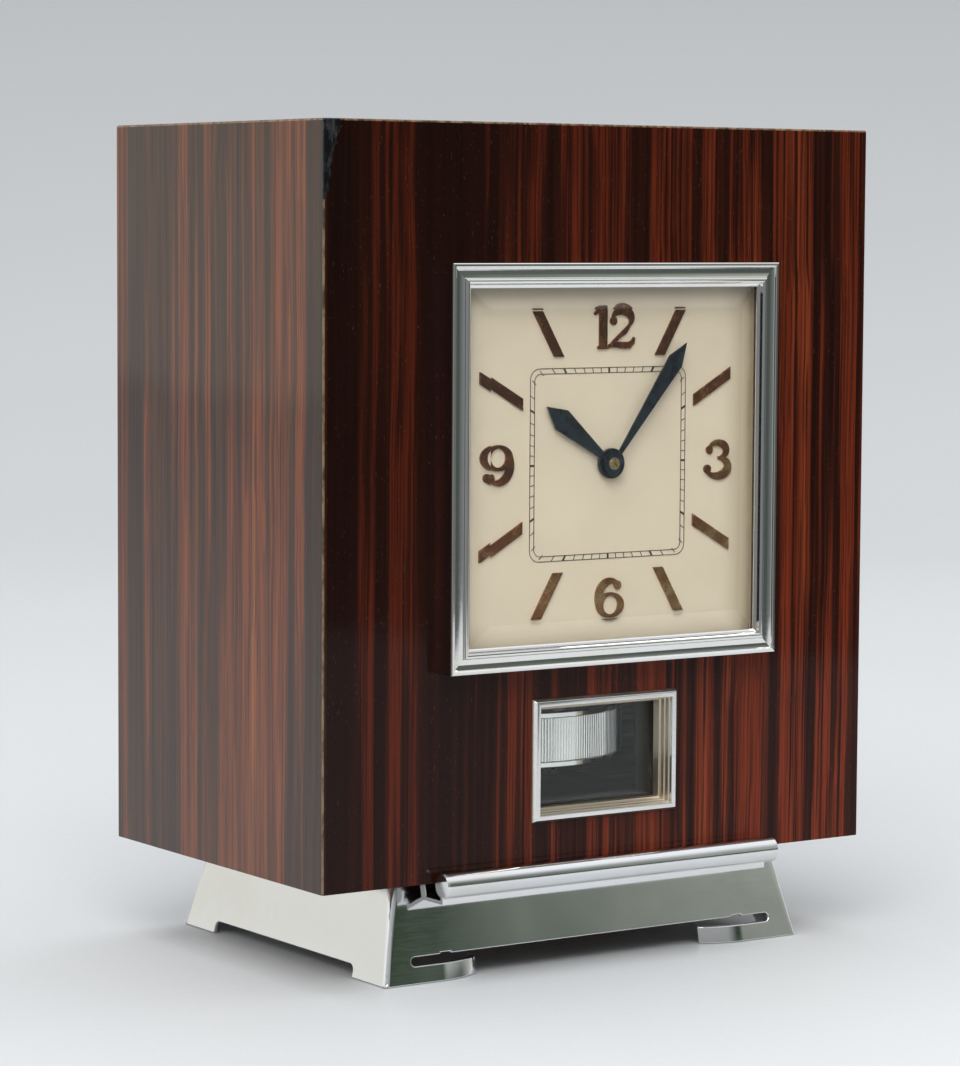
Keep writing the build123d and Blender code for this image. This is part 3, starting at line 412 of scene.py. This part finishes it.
UPRIGHT = (True, True, False)
LENGTHWAYS = (False, True, True)
made = {
    "veneer": ebony("ebony_upright", UPRIGHT, 3.1, 0.22),
    "veneer_side": ebony("ebony_sides", UPRIGHT, 5.6, 0.80, 0.66, 0.55),
    "veneer_top": ebony("ebony_lengthways", LENGTHWAYS, 7.4, 0.70),
    "carcass_wood": bare_wood("bare_hardwood"),
    "chrome": plated("polished_plate", (0.80, 0.81, 0.83), 0.04, 0.15, 0.0009),
    "bezel": plated("bezel_plate", (0.83, 0.825, 0.81), 0.03, 0.10, 0.0006),
    "window": plated("window_plate", (0.80, 0.80, 0.79), 0.12, 0.26, inner=0.0009),
    "silvered": plated("silvered_flutes", (0.86, 0.87, 0.86), 0.10, 0.22),
    "brass": turned_metal("lacquered_brass", (0.52, 0.37, 0.16), (0.78, 0.60, 0.32), 0.20, 0.38),
    "bush": bushed("bush_painted_hole_shade"),
    "steel": turned_metal("brushed_steel", (0.34, 0.34, 0.35), (0.62, 0.62, 0.63), 0.22, 0.42),
    "black_metal": paint("black_paint", (0.010, 0.010, 0.011), (0.030, 0.029, 0.028), 0.45, 0.65),
    "clear_glass": plate_glass("bevelled_glass", (0.97, 0.985, 0.975), 0.03, 1.5),
    "window_pane": plate_glass("window_pane", (0.95, 0.965, 0.955), 0.03, 1.34),
    "dial_cream": dial_enamel("cream_enamel"),
    "dial_ink": paint("printing_ink", (0.020, 0.015, 0.012), (0.060, 0.045, 0.035), 0.4, 0.6, 500.0),
    "dial_relief": lustre("copper_brown_relief"),
    "hand_black": paint("blued_hands", (0.006, 0.009, 0.014), (0.016, 0.022, 0.032), 0.22, 0.38, 240.0),
}
special = {
    "case_top_panel": "veneer_top", "case_left_side": "veneer_side", "case_right_side": "veneer_side",
    "bezel_frame": "bezel", "window_frame": "window", "centre_arbor": "bush",
    "window_glass": "window_pane"}

for entry in frame["record"]["subparts"]:
    name = entry["node"]
    wanted = made[special.get(name, entry["material_slot"])]
    mesh = nodes[name].data
    mesh.materials.clear()
    mesh.materials.append(wanted)


def soften(name, width):
    """Join a node's faces and round its sharp edges by a small radius."""
    joined = nodes[name].modifiers.new("joined", "WELD")
    joined.merge_threshold = 0.000005
    flats = nodes[name].modifiers.new("flats", "DECIMATE")
    flats.decimate_type = "DISSOLVE"
    flats.angle_limit = math.radians(0.5)
    edge = nodes[name].modifiers.new("edge", "BEVEL")
    edge.width = width
    edge.segments = 2
    edge.limit_method = "ANGLE"
    edge.angle_limit = math.radians(40)
    edge.use_clamp_overlap = False
    even = nodes[name].modifiers.new("even", "WEIGHTED_NORMAL")
    even.mode = "FACE_AREA"
    even.weight = 100


soften("base_shell", 0.00042)
soften("bar_rail", 0.00030)
soften("window_frame", 0.00015)


# ---------------------------------------------------------------- pieces
def new_piece(name, mesh, body, material):
    """Put a mesh in the scene so that it moves with a body."""
    piece = bpy.data.objects.new(name, mesh)
    bpy.context.scene.collection.objects.link(piece)
    mesh.materials.append(made[material])
    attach(piece, body)
    return piece


def mesh_from(bm, name):
    """Mesh with the bmesh's shape; the bmesh is used up."""
    mesh = bpy.data.meshes.new(name)
    bm.to_mesh(mesh)
    bm.free()
    return mesh


def lathe(name, section, count, cut):
    """Mesh turned about Z from a closed (radius, height) section, less cut(corner, step) off each radius."""
    bm = bmesh.new()
    rows = []
    for k in range(count):
        a = 2 * math.pi * k / count
        row = []
        for j, (r, z) in enumerate(section):
            turned = r - cut(j, k)
            row.append(bm.verts.new((turned * math.cos(a), turned * math.sin(a), z)))
        rows.append(row)
    for k in range(count):
        first, second = rows[k], rows[(k + 1) % count]
        for j in range(len(section)):
            jj = (j + 1) % len(section)
            bm.faces.new((first[j], second[j], second[jj], first[jj]))
    bmesh.ops.recalc_face_normals(bm, faces=bm.faces)
    return mesh_from(bm, name)


def fluted_ring():
    """Balance ring: two plain rims with fine upright flutes between them."""
    lo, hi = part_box("balance_ring")
    r = hi.x
    z0, z1 = lo.z, hi.z
    rim = 0.0018              # height of each plain rim
    wall = 0.0030
    ease = 0.0003             # rounding of the rims, and how far the flutes stand back
    neck = 0.0008             # depth of the line between rim and flutes
    half = 0.0002             # and half its width
    section = [
        (r - ease, z0), (r, z0 + ease), (r, z0 + rim - half), (r - neck, z0 + rim),
        (r - ease, z0 + rim + half), (r - ease, z1 - rim - half),
        (r - neck, z1 - rim), (r, z1 - rim + half), (r, z1 - ease), (r - ease, z1),
        (r - wall, z1), (r - wall, z0)]
    fluted = (4, 5)           # the section's corners at the foot and head of the flutes
    flutes = 256
    groove = (0.00045, 0.00012, 0.0, 0.0, 0.0, 0.00012)

    def cut(corner, step):
        return groove[step % len(groove)] if corner in fluted else 0.0

    mesh = lathe("fluted_ring", section, flutes * len(groove), cut)
    ring = new_piece("balance_fluted_ring", mesh, "balance", "silvered")
    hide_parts("balance_ring")


fluted_ring()


# ---------------------------------------------------------------- floor, light and camera
def studio_paper():
    """Pale matt paper, with painted shade making it a little greyer where it stands upright."""
    s = Shade("studio_paper")
    tone = s.noise(s.stretch((1.2, 1.2, 1.2)), 2.0)
    tooth = s.noise(s.stretch((400, 400, 400)), 2.0)
    z = s.axes()[2]
    sheet = s.ramp(tone, [(0.3, (0.545, 0.558, 0.566)), (0.7, (0.568, 0.582, 0.591))])
    # painted shade: greyer up the standing part of the sweep
    upright = s.ramp(z, [(0.02, 0.0), (0.60, 0.75), (1.0, 1.0)])
    sheet = s.mix(upright, sheet, (0.410, 0.418, 0.422))
    s.set(colour=sheet, rough=s.ramp(tooth, [(0.3, 0.45), (0.7, 0.55)]), specular=0.3)
    return s.mat


def sweep_floor():
    """Table of pale paper under the clock, curving up behind it."""
    near_edge = -0.75
    bend_from = 1.4
    bend = 2.0
    wall_top = 5.0
    left, right = -3.4, 0.85
    steps = 16
    line = [(near_edge, 0.0), (bend_from, 0.0)]
    for k in range(1, steps + 1):
        a = math.radians(90 * k / steps)
        line.append((bend_from + bend * math.sin(a), bend - bend * math.cos(a)))
    line.append((bend_from + bend, wall_top))
    turn = Matrix.Rotation(math.radians(-34), 3, "Z")
    below = 0.0001            # clear of the feet
    bm = bmesh.new()
    rows = []
    for x in (left, right):
        rows.append([bm.verts.new(turn @ Vector((x, y, z - below))) for y, z in line])
    for k in range(len(line) - 1):
        bm.faces.new((rows[0][k], rows[1][k], rows[1][k + 1], rows[0][k + 1]))
    mesh = mesh_from(bm, "paper_sweep")
    for face in mesh.polygons:
        face.use_smooth = True
    sweep = bpy.data.objects.new("paper_sweep", mesh)
    bpy.context.scene.collection.objects.link(sweep)
    mesh.materials.append(studio_paper())


def soft_light(name, place, target, size, power, tint):
    """Square soft box, aimed at target."""
    data = bpy.data.lights.new(name, "AREA")
    data.shape = "RECTANGLE"
    data.size = size
    data.size_y = size
    data.energy = power
    data.color = tint
    lamp = bpy.data.objects.new(name, data)
    lamp.location = place
    aim = Vector(target) - Vector(place)
    lamp.rotation_mode = "QUATERNION"
    lamp.rotation_quaternion = aim.to_track_quat("-Z", "Y")
    bpy.context.scene.collection.objects.link(lamp)


def room_light():
    """Soft room by direction: white above, dim and greenish low in front, and plain pale to the camera."""
    world = bpy.data.worlds.new("soft_room")
    bpy.context.scene.world = world
    world.use_nodes = True
    tree = world.node_tree
    tree.nodes.clear()
    out = tree.nodes.new("ShaderNodeOutputWorld")
    glow = tree.nodes.new("ShaderNodeBackground")
    spot = tree.nodes.new("ShaderNodeTexCoord")
    parts = tree.nodes.new("ShaderNodeSeparateXYZ")
    tree.links.new(spot.outputs["Generated"], parts.inputs[0])
    x, y, z = parts.outputs

    def by_height(stops):
        node = tree.nodes.new("ShaderNodeValToRGB")
        bar = node.color_ramp.elements
        while len(bar) < len(stops):
            bar.new(0.5)
        for element, (at, colour) in zip(bar, stops):
            element.position = at
            element.color = (*colour, 1)
        tree.links.new(z, node.inputs[0])
        return node.outputs[0]

    def share(source, low, high):
        node = tree.nodes.new("ShaderNodeMapRange")
        node.inputs["From Min"].default_value = low
        node.inputs["From Max"].default_value = high
        tree.links.new(source, node.inputs["Value"])
        return node.outputs[0]

    def mix(factor, first, second):
        node = tree.nodes.new("ShaderNodeMix")
        node.data_type = "RGBA"
        tree.links.new(factor, node.inputs[0])
        for socket, value in ((node.inputs[6], first), (node.inputs[7], second)):
            if isinstance(value, tuple):
                socket.default_value = (*value, 1)
            else:
                tree.links.new(value, socket)
        return node.outputs[2]

    white = (1.0, 1.02, 1.05)
    front_left = by_height([
        (0.0, (0.125, 0.145, 0.130)), (0.10, (0.085, 0.110, 0.085)), (0.17, (0.026, 0.046, 0.024)),
        (0.30, (0.060, 0.080, 0.056)), (0.45, (0.30, 0.32, 0.31)), (0.70, white)])
    front_right = by_height([
        (0.0, (0.075, 0.090, 0.088)), (0.08, (0.120, 0.135, 0.125)), (0.18, (0.420, 0.450, 0.400)),
        (0.45, (0.50, 0.52, 0.50)), (0.70, white)])
    ahead = by_height([
        (0.0, (0.22, 0.23, 0.23)), (0.12, (0.30, 0.31, 0.31)), (0.35, (0.42, 0.43, 0.43)), (0.70, white)])
    rear = by_height([
        (0.0, (0.92, 0.92, 0.88)), (0.05, (0.80, 0.80, 0.72)), (0.16, (1.00, 0.99, 0.98)),
        (0.6, (1.1, 1.12, 1.15))])
    front = mix(share(x, 0.53, 0.63), front_left, front_right)
    front = mix(share(x, 0.46, 0.25), front, ahead)
    around = mix(share(y, -0.45, 0.15), front, rear)
    path = tree.nodes.new("ShaderNodeLightPath")
    seen = mix(path.outputs["Is Camera Ray"], around, (0.57, 0.58, 0.59))
    tree.links.new(seen, glow.inputs[0])
    tree.links.new(glow.outputs[0], out.inputs[0])


def photo_camera():
    """Long lens a little above and to the left of the clock's front."""
    place = Vector((-0.67013, -0.98409, 0.23096))
    yaw, pitch, roll = 0.5949, -0.08442, 0.00554
    forward = Vector((math.sin(yaw) * math.cos(pitch), math.cos(yaw) * math.cos(pitch), math.sin(pitch)))
    level = Vector((math.cos(yaw), -math.sin(yaw), 0))
    up = level.cross(forward)
    right = math.cos(roll) * level + math.sin(roll) * up
    up = -math.sin(roll) * level + math.cos(roll) * up
    data = bpy.data.cameras.new("view")
    data.sensor_width = 36
    data.lens = 124.245
    data.clip_start = 0.05
    data.clip_end = 50
    camera = bpy.data.objects.new("view", data)
    rows = [(right[k], up[k], -forward[k], place[k]) for k in range(3)]
    camera.matrix_world = Matrix((*rows, (0, 0, 0, 1)))
    bpy.context.scene.collection.objects.link(camera)
    bpy.context.scene.camera = camera


sweep_floor()
room_light()
soft_light("key", (-1.4, -1.7, 2.24), (0, 0, 0.15), 1.8, 52.5, (1.0, 0.985, 0.96))
soft_light("top", (0.15, 0.15, 2.8), (0, 0, 0), 2.2, 33.5, (0.97, 0.985, 1.0))
photo_camera()
bpy.context.scene.view_settings.view_transform = "Standard"
